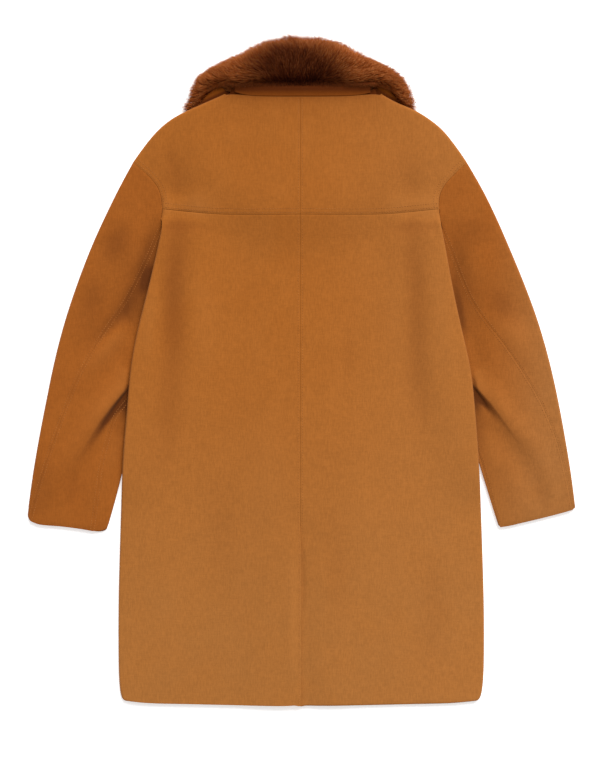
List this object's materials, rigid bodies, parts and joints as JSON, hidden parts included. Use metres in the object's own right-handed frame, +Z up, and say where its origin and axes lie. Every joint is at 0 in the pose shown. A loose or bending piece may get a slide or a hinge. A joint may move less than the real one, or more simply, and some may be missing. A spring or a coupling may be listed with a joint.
{
  "type": "suede coat",
  "caption": "Tan suede coat with a brown fur collar, back yoke, two-piece sleeves and a closed back vent, laid flat face down.",
  "frame": {"origin": "on the floor, at the middle of the laid-out coat", "axes": "+Y from the hem to the collar, +X to the wearer's right, +Z up, out of the back"},
  "size_m": [0.878, 1.0688, 0.042],
  "materials": {
    "suede": "brushed suede nap",
    "collar_suede": "brushed suede nap",
    "fur": "dense soft fur"
  },
  "bodies": {
    "root": {"yoke_left": "suede", "back_left": "suede", "front_left": "suede", "upper_sleeve_left": "suede", "under_sleeve_left": "suede", "undercollar_left": "collar_suede", "yoke_right": "suede", "back_right": "suede", "front_right": "suede", "upper_sleeve_right": "suede", "under_sleeve_right": "suede", "undercollar_right": "collar_suede", "collar_stand": "collar_suede", "fur_collar": "fur"}
  },
  "joints": []
}
